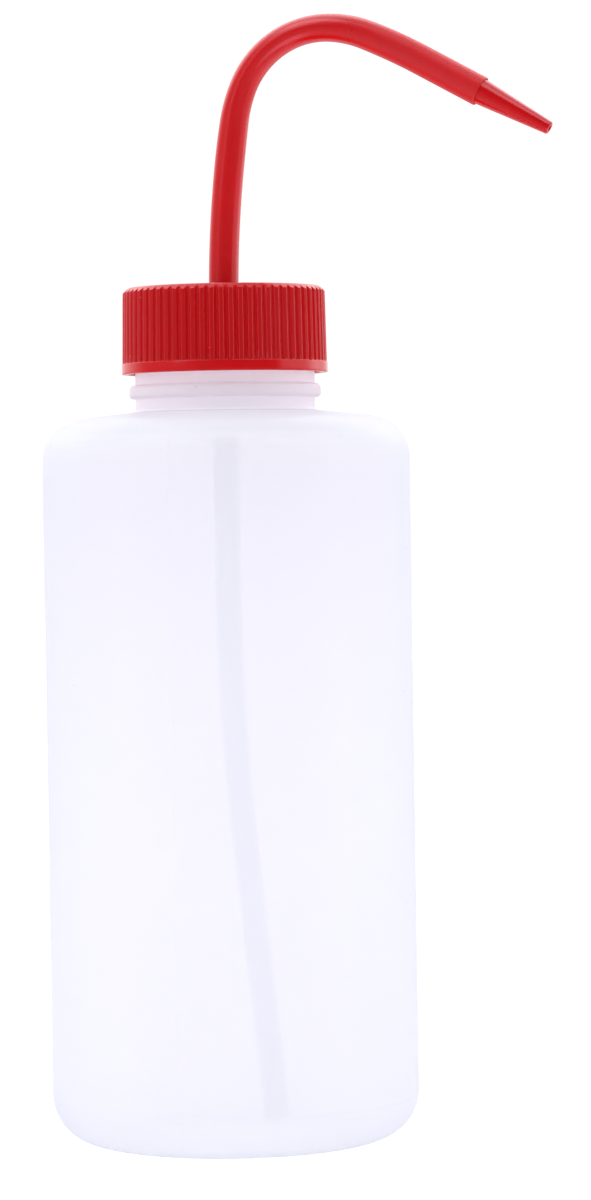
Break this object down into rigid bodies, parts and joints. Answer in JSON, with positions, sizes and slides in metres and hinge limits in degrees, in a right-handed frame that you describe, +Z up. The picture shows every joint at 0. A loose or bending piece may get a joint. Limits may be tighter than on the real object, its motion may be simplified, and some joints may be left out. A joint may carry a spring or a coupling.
{
  "type": "wash bottle",
  "caption": "Plastic squeeze wash bottle with a ribbed screw cap, a bent spout tube with a jet nozzle, and an inner dip tube.",
  "frame": {"origin": "centre of the base, on the plane that the bottle stands on", "axes": "+Z up along the bottle's axis, +X towards the side that the spout points to"},
  "size_m": [0.1067, 0.075, 0.2283],
  "materials": {
    "bottle_plastic": "translucent natural polyethylene, satin",
    "cap_plastic": "opaque red polyethylene, satin",
    "liner_foam": "white foamed polyethylene, dull",
    "spout_plastic": "opaque red polyethylene, satin with fine grain",
    "nozzle_plastic": "opaque red polyethylene, smooth",
    "dip_tube_plastic": "translucent natural polyethylene, satin"
  },
  "bodies": {
    "bottle": {"bottle": "bottle_plastic"},
    "liner": {"cap_liner": "liner_foam"},
    "cap": {"screw_cap": "cap_plastic"},
    "spout": {"spout_tube": "spout_plastic", "dip_tube": "dip_tube_plastic"},
    "nozzle": {"jet_nozzle": "nozzle_plastic"}
  },
  "joints": [
    {"name": "cap_rise", "type": "slide", "parent": "bottle", "child": "liner", "axis": [0, 0, 1], "range_m": [0, 0.0063]},
    {"name": "cap_turn", "type": "hinge", "parent": "liner", "child": "cap", "pos_m": [0, 0, 0.165], "axis": [0, 0, 1], "range_deg": [0, 540]},
    {"name": "spout_swivel", "type": "hinge", "parent": "cap", "child": "spout", "pos_m": [0, 0, 0.169], "axis": [0, 0, 1], "continuous": true},
    {"name": "nozzle_pull", "type": "slide", "parent": "spout", "child": "nozzle", "axis": [0.8721, 0, -0.4894], "range_m": [0, 0.012]}
  ],
  "couplings": [
    {"joint": "cap_rise", "follows": "cap_turn", "m_per_rad": 0.00066845}
  ]
}
